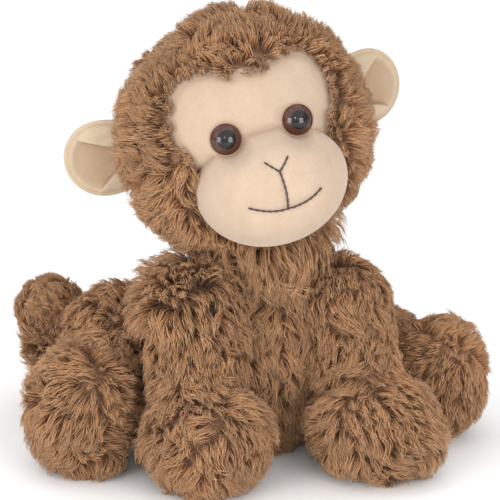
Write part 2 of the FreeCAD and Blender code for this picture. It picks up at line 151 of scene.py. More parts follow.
# ---- node material helpers ------------------------------------------------------
class Nodes:
    """A new node material with short ways to add and link its nodes."""

    def __init__(self, name):
        self.material = bpy.data.materials.new(name)
        self.material.use_nodes = True
        self.tree = self.material.node_tree
        self.shader = self.tree.nodes["Principled BSDF"]

    def add(self, kind, **values):
        node = self.tree.nodes.new(kind)
        for key, value in values.items():
            if key in node.inputs:
                node.inputs[key].default_value = value
            else:
                setattr(node, key, value)
        return node

    def link(self, start, end):
        self.tree.links.new(start, end)

    def shade(self, **values):
        for key, value in values.items():
            self.shader.inputs[key.replace("_", " ")].default_value = value

    def coords(self):
        return self.add("ShaderNodeTexCoord").outputs["Object"]

    def noise(self, scale, detail=4.0, rough=0.6, stretch=None):
        """Noise factor over object space, in cycles per metre."""
        node = self.add("ShaderNodeTexNoise", Scale=scale, Detail=detail, Roughness=rough)
        source = self.coords()
        if stretch is not None:
            mapping = self.add("ShaderNodeMapping", Scale=stretch)
            self.link(source, mapping.inputs["Vector"])
            source = mapping.outputs["Vector"]
        self.link(source, node.inputs["Vector"])
        return node.outputs["Fac"]

    def ramp(self, source, *stops):
        node = self.add("ShaderNodeValToRGB")
        stops_now = node.color_ramp.elements
        while len(stops_now) < len(stops):
            stops_now.new(0.5)
        for stop, (place, colour) in zip(stops_now, stops):
            stop.position = place
            stop.color = (*colour, 1.0)
        self.link(source, node.inputs["Fac"])
        return node.outputs["Color"]

    def maths(self, operation, a, b):
        node = self.add("ShaderNodeMath", operation=operation)
        for socket, value in zip(node.inputs, (a, b)):
            if hasattr(value, "links"):
                self.link(value, socket)
            else:
                socket.default_value = value
        return node.outputs["Value"]

    def rescale(self, source, low, high, start=0.0, end=1.0):
        node = self.add("ShaderNodeMapRange")
        node.inputs["From Min"].default_value = start
        node.inputs["From Max"].default_value = end
        node.inputs["To Min"].default_value = low
        node.inputs["To Max"].default_value = high
        self.link(source, node.inputs["Value"])
        return node.outputs["Result"]

    def mix(self, factor, a, b, blend="MIX"):
        node = self.add("ShaderNodeMix", data_type="RGBA", blend_type=blend)
        sockets = [s for s in node.inputs if s.enabled]
        for socket, value in zip(sockets, (factor, a, b)):
            if hasattr(value, "links"):
                self.link(value, socket)
            elif isinstance(value, tuple):
                socket.default_value = (*value, 1.0)
            else:
                socket.default_value = value
        return [s for s in node.outputs if s.enabled][0]

    def times(self, colour, factor):
        """A colour made lighter or darker by a factor."""
        node = self.add("ShaderNodeVectorMath", operation="SCALE")
        self.link(colour, node.inputs["Vector"])
        self.link(factor, node.inputs["Scale"])
        return node.outputs["Vector"]

    def bump(self, height, strength, distance):
        node = self.add("ShaderNodeBump", Strength=strength, Distance=distance)
        self.link(height, node.inputs["Height"])
        self.link(node.outputs["Normal"], self.shader.inputs["Normal"])

    def colour(self, source):
        self.link(source, self.shader.inputs["Base Color"])
        return self.material


def fur_material():
    m = Nodes("long_pile")
    strand = m.add("ShaderNodeAttribute", attribute_name="strand")
    parts = m.add("ShaderNodeSeparateXYZ")
    m.link(strand.outputs["Vector"], parts.inputs["Vector"])
    own, along, tuft = (parts.outputs[axis] for axis in "XYZ")
    # Colour along each strand: the pile's own brown, with the root end darkened as painted shade down
    # in the pile, lightest at the tip.
    base = m.ramp(along, (0.0, (0.24, 0.105, 0.043)), (0.4, (0.375, 0.183, 0.08)),
                  (0.8, (0.485, 0.268, 0.132)), (1.0, (0.58, 0.365, 0.205)))
    patches = m.noise(28.0, 3.0)
    cool = m.mix(m.rescale(patches, 0.0, 1.0, 0.35, 0.65), base, (0.47, 0.265, 0.14))
    warm = m.mix(0.3, base, cool)
    tone = m.maths("MULTIPLY", m.rescale(own, 0.78, 1.22), m.rescale(tuft, 0.88, 1.12))
    m.shade(Roughness=0.6, Specular_IOR_Level=0.3, Sheen_Weight=0.15, Sheen_Roughness=0.4,
            Sheen_Tint=(1.0, 0.84, 0.68, 1.0))
    return m.colour(m.times(warm, tone))


def backing_material():
    m = Nodes("pile_backing")
    weave = m.noise(2600.0, 2.0)
    base = m.ramp(weave, (0.3, (0.18, 0.09, 0.046)), (0.7, (0.27, 0.145, 0.078)))
    m.bump(weave, 0.5, 0.0004)
    m.shade(Roughness=0.95)
    return m.colour(base)


def nap_material(name, shade_low, shade_high, painted_shade_deep):
    """Short-nap fabric: soft streaks of brushed nap, fine speckle and a faint sheen.

    The mesh's tone attribute is painted shade: 0 where the nap lies open and 1 deep in a fold or
    hollow.
    """
    m = Nodes(name)
    brushed = m.noise(90.0, 4.0, 0.6, (1.0, 1.0, 0.45))
    speckle = m.noise(2300.0, 3.0, 0.7)
    open_nap = m.ramp(brushed, (0.3, shade_low), (0.7, shade_high))
    tone = m.add("ShaderNodeAttribute", attribute_name="tone")
    # painted shade: the tone attribute mixes in the dark colour in folds, seams and hollows
    soft = m.mix(tone.outputs["Fac"], open_nap, painted_shade_deep)
    m.bump(speckle, 0.35, 0.00035)
    m.shade(Roughness=0.85, Specular_IOR_Level=0.25, Sheen_Weight=0.35, Sheen_Roughness=0.45,
            Sheen_Tint=(1.0, 0.93, 0.86, 1.0))
    return m.colour(m.times(soft, m.rescale(speckle, 0.88, 1.12, 0.3, 0.7)))


def fibre_material():
    m = Nodes("fibre_filling")
    tangle = m.noise(900.0, 8.0, 0.75)
    m.bump(tangle, 0.8, 0.001)
    m.shade(Roughness=1.0)
    return m.colour(m.ramp(tangle, (0.3, (0.6, 0.6, 0.58)), (0.7, (0.9, 0.9, 0.88))))


def plain_material(name, low, high, scale, roughness):
    m = Nodes(name)
    grain = m.noise(scale, 5.0)
    m.bump(grain, 0.3, 0.0003)
    m.shade(Roughness=roughness)
    return m.colour(m.ramp(grain, (0.35, low), (0.65, high)))


def eye_brown_material():
    m = Nodes("eye_brown")
    streaks = m.noise(700.0, 4.0)
    m.shade(Roughness=0.3, Specular_IOR_Level=0.0, Coat_Weight=1.0, Coat_Roughness=0.01, Coat_IOR=1.5)
    return m.colour(m.ramp(streaks, (0.3, (0.035, 0.012, 0.008)), (0.7, (0.09, 0.032, 0.02))))


def eye_black_material():
    m = Nodes("eye_black")
    haze = m.noise(500.0, 3.0)
    m.shade(Roughness=0.3, Specular_IOR_Level=0.0, Coat_Weight=1.0, Coat_Roughness=0.01, Coat_IOR=1.5)
    return m.colour(m.ramp(haze, (0.3, (0.003, 0.003, 0.003)), (0.7, (0.007, 0.006, 0.006))))


def thread_material():
    m = Nodes("embroidery_thread")
    twist = m.noise(3000.0, 3.0)
    m.bump(twist, 0.5, 0.0002)
    m.shade(Roughness=0.45, Sheen_Weight=0.3)
    return m.colour(m.ramp(twist, (0.3, (0.012, 0.006, 0.005)), (0.7, (0.045, 0.022, 0.016))))


# ---- meshes ----------------------------------------------------------------------
def new_object(name, mesh, material):
    piece = bpy.data.objects.new(name, mesh)
    bpy.context.scene.collection.objects.link(piece)
    mesh.materials.append(material)
    return piece


def mesh_arrays(mesh):
    """Vertex places, vertex normals and triangles of a mesh."""
    co = np.empty(len(mesh.vertices) * 3)
    mesh.vertices.foreach_get("co", co)
    normals = np.empty(len(mesh.vertices) * 3)
    mesh.vertices.foreach_get("normal", normals)
    mesh.calc_loop_triangles()
    tris = np.empty(len(mesh.loop_triangles) * 3, np.int32)
    mesh.loop_triangles.foreach_get("vertices", tris)
    return co.reshape(-1, 3), normals.reshape(-1, 3), tris.reshape(-1, 3)


def set_places(mesh, co):
    mesh.vertices.foreach_set("co", np.ascontiguousarray(co, np.float32).ravel())
    mesh.update()


def smooth(mesh):
    mesh.polygons.foreach_set("use_smooth", np.ones(len(mesh.polygons), bool))
    mesh.update()


def evaluated(piece):
    """The piece's mesh with its modifiers applied."""
    graph = bpy.context.evaluated_depsgraph_get()
    mesh = bpy.data.meshes.new_from_object(piece.evaluated_get(graph))
    piece.modifiers.clear()
    old, piece.data = piece.data, mesh
    bpy.data.meshes.remove(old)
    return mesh


def mesh_from(name, co, faces):
    """A mesh whose faces all look outwards."""
    mesh = bpy.data.meshes.new(name)
    mesh.from_pydata([tuple(p) for p in co], [], faces)
    form = bmesh.new()
    form.from_mesh(mesh)
    bmesh.ops.recalc_face_normals(form, faces=form.faces)
    form.to_mesh(mesh)
    form.free()
    mesh.update()
    return mesh


def inflate(piece, held, pressure, most):
    """Puffs a closed piece of cloth by a short simulation.

    held is 1 at the points that seams and stitches keep in place. No point moves further
    than most. The result becomes the piece's mesh.
    """
    group = piece.vertex_groups.new(name="held")
    for i in np.flatnonzero(held > 0.02):
        group.add([int(i)], float(min(held[i], 1.0)), "REPLACE")
    modifier = piece.modifiers.new("cloth", "CLOTH")
    cloth = modifier.settings
    cloth.quality = 4
    cloth.mass = CLOTH_MASS
    cloth.tension_stiffness = cloth.compression_stiffness = CLOTH_STRETCH
    cloth.shear_stiffness = CLOTH_SHEAR
    cloth.bending_stiffness = CLOTH_BEND
    cloth.use_pressure = True
    cloth.uniform_pressure_force = pressure
    cloth.vertex_group_mass = "held"
    cloth.effector_weights.gravity = 0.0
    modifier.collision_settings.use_collision = False
    modifier.point_cache.frame_start, modifier.point_cache.frame_end = 1, CLOTH_FRAMES
    before, _, _ = mesh_arrays(piece.data)
    for step in range(1, CLOTH_FRAMES + 1):
        bpy.context.scene.frame_set(step)
    mesh = evaluated(piece)
    bpy.context.scene.frame_set(1)
    after, _, _ = mesh_arrays(mesh)
    shift = after - before
    size = np.linalg.norm(shift, axis=1, keepdims=True)
    set_places(mesh, before + shift * np.minimum(1.0, most / np.maximum(size, 1e-9)))
    print(piece.name, "moved up to %.2f mm by cloth, half of it more than %.2f mm"
          % (size.max() / MM, np.median(size) / MM))


def outside(co, tree, gap):
    """The points, moved out to at least that gap from the surface in the tree."""
    result = co.copy()
    for i, point in enumerate(co):
        near, facing, _, _ = tree.find_nearest(Vector(point))
        height = (Vector(point) - near).dot(facing)
        if height < gap:
            result[i] = near + facing * gap
    return result


def backing(name, nodes, material, smoothing=12, lumps=0.8 * MM):
    """The cloth under the pile: one skin around these stuffed nodes."""
    co, faces, count = [], [], 0
    for node in nodes:
        own, _, tris = mesh_arrays(frame["nodes"][node].data)
        co.append(own)
        faces.append(tris + count)
        count += len(own)
    mesh = bpy.data.meshes.new(name)
    co, faces = np.concatenate(co), np.concatenate(faces)
    stuffed = BVHTree.FromPolygons(co.tolist(), faces.tolist())
    mesh.vertices.add(len(co))
    mesh.vertices.foreach_set("co", co.ravel())
    mesh.loops.add(3 * len(faces))
    mesh.loops.foreach_set("vertex_index", faces.ravel())
    mesh.polygons.add(len(faces))
    mesh.polygons.foreach_set("loop_start", np.arange(0, 3 * len(faces), 3, dtype=np.int32))
    mesh.update(calc_edges=True)
    skin = new_object(name, mesh, material)
    remesh = skin.modifiers.new("cloth grid", "REMESH")
    remesh.mode = "VOXEL"
    remesh.voxel_size = SKIN_VOXEL
    soften = skin.modifiers.new("soften", "SMOOTH")
    soften.iterations = smoothing
    soften.factor = 0.5
    mesh = evaluated(skin)
    co, normals, _ = mesh_arrays(mesh)
    co = co + normals * (SKIN_GROW + lumps * waves(co, 34 * MM, 5)[:, :1])
    co = outside(co, stuffed, SKIN_GROW)
    co[:, 2] = np.maximum(co[:, 2], FLOOR_GAP)
    set_places(mesh, co)
    smooth(mesh)
    return skin


# ---- fur --------------------------------------------------------------------------
def scatter(mesh, spacing, rng):
    """Points and normals spread over a mesh, one in each cell of a grid that it meets."""
    co, normals, tris = mesh_arrays(mesh)
    a, b, c = (co[tris[:, i]] for i in range(3))
    areas = np.linalg.norm(np.cross(b - a, c - a), axis=1) / 2
    count = int(areas.sum() / spacing ** 2 * 8)
    picked = rng.choice(len(tris), count, p=areas / areas.sum())
    u, v = rng.random((2, count, 1))
    flip = u + v > 1
    u, v = np.where(flip, 1 - u, u), np.where(flip, 1 - v, v)
    corners = tris[picked]
    weights = (1 - u - v, u, v)
    points = sum(w * co[corners[:, i]] for i, w in enumerate(weights))
    facing = unit(sum(w * normals[corners[:, i]] for i, w in enumerate(weights)))
    _, first = np.unique(np.floor(points / spacing).astype(int), axis=0, return_index=True)
    first = rng.permutation(first)
    return points[first], facing[first]


def nearest(points, seeds):
    """Index of the nearest seed to each point."""
    result = np.empty(len(points), int)
    for start in range(0, len(points), 4000):
        part = points[start:start + 4000]
        gaps = ((part[:, None, :] - seeds[None, :, :]) ** 2).sum(axis=2)
        result[start:start + 4000] = gaps.argmin(axis=1)
    return result


def strand_paths(roots, normals, comb, length, lift, rng, seed):
    """Centre lines of all strands: an array of strand, point and place.

    roots, normals: where each lock stands. comb: the direction it is brushed in.
    length: how long it is. lift: how far its tip stands off the backing.
    """
    count = len(roots)
    _, first = np.unique(np.floor(roots / TUFT_SPACING + 0.37).astype(int), axis=0,
                         return_index=True)
    tuft = nearest(roots + waves(roots, 16 * MM, seed + 3) * 2.5 * MM, roots[first])
    lift = lift * rng.uniform(0.78, 1.2, len(first))[tuft]
    sway = waves(roots, 46 * MM, seed) * 0.42 + waves(roots, 15 * MM, seed + 1) * 0.3
    sway += rng.normal(0, 0.42, (len(first), 3))[tuft] + rng.normal(0, 0.13, roots.shape)
    lean = onto(comb + sway, normals)
    lean = onto(lean, normals)
    across = np.cross(normals, lean)
    reach = np.sqrt(np.maximum(length ** 2 - lift ** 2, (0.3 * length) ** 2))[:, None]
    tips = roots + lean * reach * 0.86 + normals * lift[:, None]

    apex = tips[first][tuft]
    pull = rng.uniform(0.08, 0.32, (count, 1))
    tips = tips * (1 - pull) + apex * pull
    tuft_tone = rng.random(len(first))[tuft]

    rise = normals * (lift * rng.uniform(0.45, 0.8, count))[:, None]
    middle = roots + rise + (tips - roots) * 0.22
    late = tips - lean * reach * 0.28 + normals * (lift * 0.12)[:, None]
    curl = across * (length * rng.normal(0, 0.06, count))[:, None]

    lock = np.repeat(np.arange(count), STRANDS)
    total = len(lock)
    spread = LOCK_SPACING * 0.8 * np.sqrt(rng.random((total, 1)))
    angle = rng.uniform(0, 2 * math.pi, (total, 1))
    offset = spread * (np.cos(angle) * lean[lock] + np.sin(angle) * across[lock])
    stray = rng.normal(size=(total, 3)) * 0.8 * MM
    share = rng.uniform(0.8, 1.05, (total, 1))
    steps = np.linspace(0, 1, STRAND_POINTS)
    paths = np.empty((total, STRAND_POINTS, 3))
    for i, step in enumerate(steps):
        s = step * share
        w0, w1, w2, w3 = (1 - s) ** 3, 3 * s * (1 - s) ** 2, 3 * s ** 2 * (1 - s), s ** 3
        line = w0 * roots[lock] + w1 * middle[lock] + w2 * late[lock] + w3 * tips[lock]
        line += curl[lock] * np.sin(s * 1.8 * math.pi)
        paths[:, i] = line + offset * (1 - 0.45 * s) + stray * s ** 2
    paths[:, 0] -= normals[lock] * ROOT_DEPTH
    paths[..., 2] = np.maximum(paths[..., 2], FLOOR_GAP)
    return paths, tuft_tone[lock]


def strand_mesh(name, paths, tones, rng):
    """Closed three-sided tapering strands along their centre lines."""
    count, points = paths.shape[:2]
    ahead = unit(np.gradient(paths, axis=1))
    guide = unit(rng.normal(size=(count, 1, 3)))
    across = unit(np.cross(ahead, guide))
    other = np.cross(ahead, across)
    thick = STRAND_RADIUS * rng.uniform(0.75, 1.25, count)
    taper = np.interp(np.linspace(0, 1, points), (0, 0.45, 0.8, 1), (0.9, 1.0, 0.62, 0.0))
    rings = []
    for side in range(3):
        turn = side * 2 * math.pi / 3
        swing = math.cos(turn) * across + math.sin(turn) * other
        rings.append(paths[:, :-1] + swing[:, :-1] * thick[:, None, None] * taper[:-1, None])
    rings = np.stack(rings, axis=2).reshape(count, 3 * (points - 1), 3)
    co = np.concatenate([rings, paths[:, -1:]], axis=1)
    per = co.shape[1]

    pattern = [(0, 2, 1)]
    for ring in range(points - 2):
        for side in range(3):
            a, b = 3 * ring + side, 3 * ring + (side + 1) % 3
            pattern += [(a, b, b + 3), (a, b + 3, a + 3)]
    last = 3 * (points - 2)
    pattern += [(last + side, last + (side + 1) % 3, per - 1) for side in range(3)]
    faces = np.array(pattern, np.int32)[None] + per * np.arange(count, dtype=np.int32)[:, None, None]
    faces = faces.reshape(-1)

    mesh = bpy.data.meshes.new(name)
    mesh.vertices.add(count * per)
    mesh.vertices.foreach_set("co", co.astype(np.float32).ravel())
    mesh.loops.add(len(faces))
    mesh.loops.foreach_set("vertex_index", faces)
    mesh.polygons.add(len(faces) // 3)
    mesh.polygons.foreach_set("loop_start", np.arange(0, len(faces), 3, dtype=np.int32))
    mesh.update(calc_edges=True)
    smooth(mesh)

    along = np.append(np.repeat(np.linspace(0, 1, points)[:-1], 3), 1.0)
    marks = np.empty((count, per, 3), np.float32)
    marks[..., 0] = rng.random(count)[:, None]
    marks[..., 1] = along
    marks[..., 2] = tones[:, None]
    layer = mesh.attributes.new("strand", "FLOAT_VECTOR", "POINT")
    layer.data.foreach_set("vector", marks.ravel())

    columns = math.ceil(math.sqrt(count * 3))
    rows = math.ceil(count / columns)
    cell = np.arange(count)
    sides = np.append(np.tile([0.2, 0.5, 0.8], points - 1), 0.5)
    u = (cell[:, None] % columns + sides) / columns
    v = (cell[:, None] // columns + 0.1 + 0.8 * along) / rows
    chart = np.stack([u, v], axis=2).reshape(-1, 2)[faces]
    mesh.uv_layers.new(name="OFBake").data.foreach_set("uv", chart.astype(np.float32).ravel())
    return mesh


def grow_fur(name, body, skin, material, comb, length, lift, seed, keep=None, order=None):
    """Fur over a skin. comb, length and lift are functions of the roots and normals."""
    rng = np.random.default_rng(seed)
    roots, normals = scatter(skin.data, LOCK_SPACING, rng)
    wanted = roots[:, 2] > 2 * MM
    if keep is not None:
        wanted &= keep(roots, normals)
    roots, normals = roots[wanted], normals[wanted]
    turn = order(roots) if order else np.arctan2(roots[:, 1] - roots[:, 1].mean(),
                                                 roots[:, 0] - roots[:, 0].mean())
    sorting = np.argsort(turn, kind="stable")
    roots, normals = roots[sorting], normals[sorting]
    vary = 1 + 0.16 * waves(roots, 23 * MM, seed + 7)[:, 0] + rng.normal(0, 0.07, len(roots))
    paths, tones = strand_paths(roots, normals, comb(roots, normals), length(roots) * vary,
                                lift(roots) * vary, rng, seed)
    parts = math.ceil(len(paths) / PIECE_STRANDS)
    for i, part in enumerate(np.array_split(np.arange(len(paths)), parts)):
        label = "%s_%d" % (name, i + 1) if parts > 1 else name
        piece = new_object(label, strand_mesh(label, paths[part], tones[part], rng), material)
        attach(piece, body)
    print(name, len(roots), "locks", len(paths), "strands")


def even(value):
    return lambda roots: np.full(len(roots), value)


# ---- materials ---------------------------------------------------------------------
FUR = fur_material()
BACKING = backing_material()
# The last colour of each nap is painted shade for its folds, seams and hollows.
FACE = nap_material("face_nap", (0.412, 0.31, 0.224), (0.46, 0.348, 0.256), (0.29, 0.18, 0.11))
EAR = nap_material("ear_nap", (0.435, 0.335, 0.232), (0.49, 0.385, 0.27), (0.29, 0.165, 0.09))
FIBRE = fibre_material()
EYE_BROWN = eye_brown_material()
EYE_BLACK = eye_black_material()
THREAD = thread_material()
EYE_BACKS = plain_material("eye_backs", (0.03, 0.03, 0.03), (0.06, 0.06, 0.06), 400.0, 0.5)
POUCH = plain_material("pouch_cloth", (0.7, 0.7, 0.68), (0.82, 0.82, 0.8), 1500.0, 0.9)
PELLETS = plain_material("pellets", (0.6, 0.6, 0.6), (0.85, 0.85, 0.85), 350.0, 0.4)

for node, piece in frame["nodes"].items():
    if "stuffing" in node:
        kind = FIBRE
    elif node.startswith("eye_cap"):
        kind = EYE_BROWN
    elif node.startswith("eye_pupil"):
        kind = EYE_BLACK
    elif node.startswith("eye_"):
        kind = EYE_BACKS
    elif node == "seat_pouch":
        kind = POUCH
    elif node == "pouch_pellets":
        kind = PELLETS
    elif node.startswith("face") or node.startswith("muzzle"):
        kind = FACE
    elif node.startswith("ear_"):
        kind = EAR
    elif "stitching" in node:
        kind = THREAD
    else:
        kind = BACKING
    piece.data.materials.clear()
    piece.data.materials.append(kind)


# ---- torso, neck, limbs and tail -----------------------------------------------------
DOWN = np.array([0.0, 0.0, -1.0])


def downwards(outward=0.35):
    """Brushed down, a little outwards from the toy's middle."""
    def comb(roots, normals):
        out = roots * [1.0, 1.0, 0.0]
        return DOWN + unit(out) * outward
    return comb


def from_point(centre):
    """Brushed away from a point, as around a crown."""
    def comb(roots, normals):
        return unit(roots - centre)
    return comb


def paw_comb(limb_start, paw, whorl):
    """Along the limb to the paw, and away from the whorl on the paw itself."""
    def comb(roots, normals):
        down_limb = unit(paw - limb_start)
        radial = unit(roots - whorl)
        gap = np.linalg.norm(roots - paw, axis=1, keepdims=True)
        near = np.clip((44 * MM - gap) / (16 * MM), 0, 1)
        unruly = waves(roots, 34 * MM, 61) * 0.45
        return down_limb * (1 - near) + (radial * 0.9 + unruly) * near + DOWN * 0.3
    return comb


def clear_of(others, reach=3.5 * MM):
    """Keeps roots that aren't pressed against another skin."""
    trees = []
    for other in others:
        co, _, tris = mesh_arrays(other.data)
        trees.append(BVHTree.FromPolygons(co.tolist(), tris.tolist()))

    def keep(roots, normals):
        ok = np.ones(len(roots), bool)
        for i, (root, normal) in enumerate(zip(roots, normals)):
            probe = Vector(root + normal * 2.0 * MM)
            for tree in trees:
                near, facing, _, gap = tree.find_nearest(probe, 30 * MM)
                if near is not None and (gap < reach or (probe - near).dot(facing) < 0):
                    ok[i] = False
        return ok
    return keep


skins = {}
skins["torso"] = backing("torso_backing", ["torso_stuffing"], BACKING)
skins["neck"] = backing("neck_backing", ["neck_stuffing"], BACKING, 4, 0.0)
skins["head"] = backing("head_backing", ["head_stuffing"], BACKING)
for side in SIDES:
    skins["arm_" + side] = backing("arm_backing_" + side, [
        "shoulder_stuffing_" + side, "arm_stuffing_" + side, "hand_stuffing_" + side], BACKING)
    skins["leg_" + side] = backing("leg_backing_" + side, [
        "hip_stuffing_" + side, "leg_stuffing_" + side, "foot_stuffing_" + side], BACKING)
skins["tail_base"] = backing("tail_base_backing", ["tail_base_stuffing"], BACKING)
skins["tail_tip"] = backing("tail_tip_backing", ["tail_tip_stuffing"], BACKING)


# ---- the face outline, in the head's frame, millimetres --------------------------------
def in_brow(x, z, grow=0.0):
    """True inside the brow part of the face: two lobes with a dip between, and the cheeks."""
    inside = np.zeros(np.shape(x), bool)
    for lobe_x, lobe_z, radius in BROW_LOBES:
        inside |= (x - lobe_x) ** 2 + (z - lobe_z) ** 2 < (radius + grow) ** 2
    slope = (CHEEK_TOP[0] - CHEEK_NOTCH[0]) / (CHEEK_TOP[1] - CHEEK_NOTCH[1])
    edge = CHEEK_NOTCH[0] + (z - CHEEK_NOTCH[1]) * slope + grow
    inside |= (np.abs(x) < edge) & (z > CHEEK_NOTCH[1] - grow) & (z < CHEEK_TOP[1])
    return inside


def in_muzzle(x, z, grow=0.0):
    across, up = MUZZLE_SEMI[0] + grow, MUZZLE_SEMI[1] + grow
    return (x / across) ** 2 + ((z - MUZZLE_AT[1]) / up) ** 2 < 1


def on_face(roots, grow=0.0):
    x, y, z = to_head(roots).T
    return (y < 0) & (in_brow(x, z, grow) | in_muzzle(x, z, grow))


def sink_face(skin):
    """Presses the head's backing inwards where the face panels lie over it."""
    co, _, _ = mesh_arrays(skin.data)
    local = to_head(co)
    inner = on_face(co, 2.0)
    deepest = face_depth(local[:, 0], local[:, 2]) + 4.0
    local[inner, 1] = np.maximum(local[inner, 1], deepest[inner])
    set_places(skin.data, from_head(local))


def head_comb(roots, normals):
    """Away from the middle of the face, downwards lower on the head, upright at the face's edge."""
    middle = from_head([0, -60, 4])
    out = unit(roots - middle)
    low = np.clip(-to_head(roots)[:, 2:] / 60, 0, 1)
    edge = on_face(roots, 4.5)[:, None]
    return np.where(edge, DOWN * 0.5 - out * 0.35, out + DOWN * (0.15 + 0.6 * low))


def head_keep(roots, normals):
    return ~on_face(roots, 0.6)


def head_lift(roots):
    x, _, z = to_head(roots).T
    top = ramp_up(z, 34, 56) * ramp_up(x, -20, 6)
    upper_right = ramp_up(-x, 12, 32) * ramp_up(z, 34, 48)
    lower_right = ramp_up(-x, 20, 50) * ramp_up(-z, 12, 40)
    away = 7.4 + 2.5 * top - 2.4 * upper_right + 2.6 * lower_right
    return np.where(on_face(roots, 4.5), 8.6, away) * MM


def head_length(roots):
    low = np.clip(-to_head(roots)[:, 2] / 50, 0, 1)
    away = np.where(on_face(roots, 9.0), 12.0, 14.0 + 4.0 * low)
    return np.where(on_face(roots, 4.5), 9.4, away) * MM


# ---- face panels, muzzle, embroidery and ears, in the head's frame, millimetres -----------
def grid_faces(rows, columns, closed_rows=False):
    """Quads of a grid that closes round its columns."""
    faces = []
    for row in range(rows if closed_rows else rows - 1):
        for column in range(columns):
            a, b = row * columns + column, row * columns + (column + 1) % columns
            up = columns if row < rows - 1 else -row * columns
            faces.append((a, b, b + up, a + up))
    return faces


def fold(distance, width):
    """1 at a line, fading to 0 about a width away."""
    return np.exp(-(distance / width) ** 2)


def ramp_up(value, start, end):
    t = np.clip((value - start) / (end - start), 0, 1)
    return t * t * (3 - 2 * t)


def outline_radius(inside, centre, angles, farthest=70.0):
    """How far an outline reaches from a centre in each direction."""
    steps = np.arange(0.05, farthest, 0.05)
    x = centre[0] + np.cos(angles)[:, None] * steps
    z = centre[1] + np.sin(angles)[:, None] * steps
    within = inside(x, z)
    return steps[np.argmin(within, axis=1)]


def padded_patch(name, inside, centre, hem, front, thick, material, place, rings=56, spokes=180):
    """A closed piece of padded cloth over an outline.

    front gives the depth of its face and its tone, a painted shade for folds and seams, at points x, z,
    with how far each is from the outline (inside is positive). hem is how far it runs on under its
    neighbours.
    """
    angles = np.linspace(0, 2 * math.pi, spokes, endpoint=False)
    edge = outline_radius(inside, centre, angles)
    edge = (np.roll(edge, 1) + edge * 2 + np.roll(edge, -1)) / 4
    t = np.linspace(0, 1, rings)[1:]
    share = (1 - (1 - t) ** 1.5)[:, None]
    radius = share * (edge + hem)
    x = np.append(centre[0] + radius * np.cos(angles), centre[0])
    z = np.append(centre[1] + radius * np.sin(angles), centre[1])
    margin = np.append((edge - radius).ravel(), edge.min())
    depth, tone = front(x, z, margin)
    outer = np.stack([x, depth, z], axis=1)
    inner = outer.copy()
    inner[:, 1] += thick * np.clip((margin + hem) / 3.0, 0.06, 1)
    count, ring = len(outer), spokes
    faces = grid_faces(rings - 1, ring)
    faces = [face[::-1] for face in faces]
    faces += [(i, count - 1, (i + 1) % ring) for i in range(ring)]
    back = [tuple(i + count for i in reversed(face)) for face in faces]
    last = (rings - 2) * ring
    rim = [(last + i, last + (i + 1) % ring, last + (i + 1) % ring + count, last + i + count)
           for i in range(ring)]
    mesh = mesh_from(name, place(np.concatenate([outer, inner])), faces + back + rim)
    smooth(mesh)
    # the tone attribute carries the painted shade that the nap material mixes in
    layer = mesh.attributes.new("tone", "FLOAT", "POINT")
    layer.data.foreach_set("value", np.concatenate([tone, tone]).astype(np.float32))
    return new_object(name, mesh, material)


def face_depth(x, z):
    return -FACE_DEPTH * np.sqrt(np.maximum(1 - (x ** 2 + z ** 2) / FACE_ACROSS ** 2, 0.02))


def eye_gap(x, z):
    """Distance from the nearer eye's middle."""
    return np.hypot(np.abs(x) - EYE_AT[0], z - EYE_AT[1])


def eye_seat(x, z):
    """Depth of the cloth against the underside of an eye's rim."""
    along = (np.abs(x) - EYE_AT[0]) * math.tan(math.radians(EYE_OUTWARD))
    up = (z - EYE_AT[1]) * math.tan(math.radians(EYE_UPWARD))
    return float(face_depth(*EYE_AT)) + along + up + EYE_SEAT


def seam_gap(x, z):
    """Distance outside the muzzle's outline."""
    ellipse = np.hypot(x / MUZZLE_SEMI[0], (z - MUZZLE_AT[1]) / MUZZLE_SEMI[1])
    return (ellipse - 0.985) * 33.0


sink_face(skins["head"])


def brow_front(x, z, margin):
    gap, eye = seam_gap(x, z), eye_gap(x, z)
    sink = 1.3 * fold(gap, 2.4)
    sink += 3.4 * np.clip((2.5 - margin) / 7.5, 0, 1) ** 2
    sink += 0.35 * waves(np.stack([x, z, 0 * x], axis=1), 26.0, 3)[:, 0]
    # tone is painted shade: darker along the muzzle seam, round the eyes and at the brow's edge.
    tone = 0.42 * fold(gap, 1.3) + 0.5 * fold(np.maximum(eye - EYE_RADIUS, 0), 1.3)
    tone += 0.25 * fold(margin, 2.0)
    seat = fold(np.maximum(eye - EYE_RADIUS, 0), 3.6)
    return (face_depth(x, z) + sink) * (1 - seat) + eye_seat(x, z) * seat, tone


def brow_inside(x, z):
    return in_brow(x, z) | ((np.abs(x) < 27) & (z > -14) & (z < 5))


def muzzle_dent(x, z):
    """How far the muzzle is pulled in along its stitches."""
    stem = np.where((z < NOSE_POINT) & (z > MOUTH_LOW), np.abs(x), 99.0)
    smile = np.where(np.abs(x) < MOUTH_HALF, z - mouth_line(x), 99.0)
    return 0.75 * fold(stem, 2.2) + 0.8 * fold(smile, 2.2)


def mouth_line(x):
    return MOUTH_LOW + MOUTH_RADIUS - np.sqrt(MOUTH_RADIUS ** 2 - np.clip(x, -30, 30) ** 2)


def muzzle_front(x, z):
    """Depth of the muzzle's cloth in front of a point."""
    hit = muzzle_tree.ray_cast(Vector((x, -150.0, z)), Vector((0.0, 1.0, 0.0)))[0]
    return hit.y


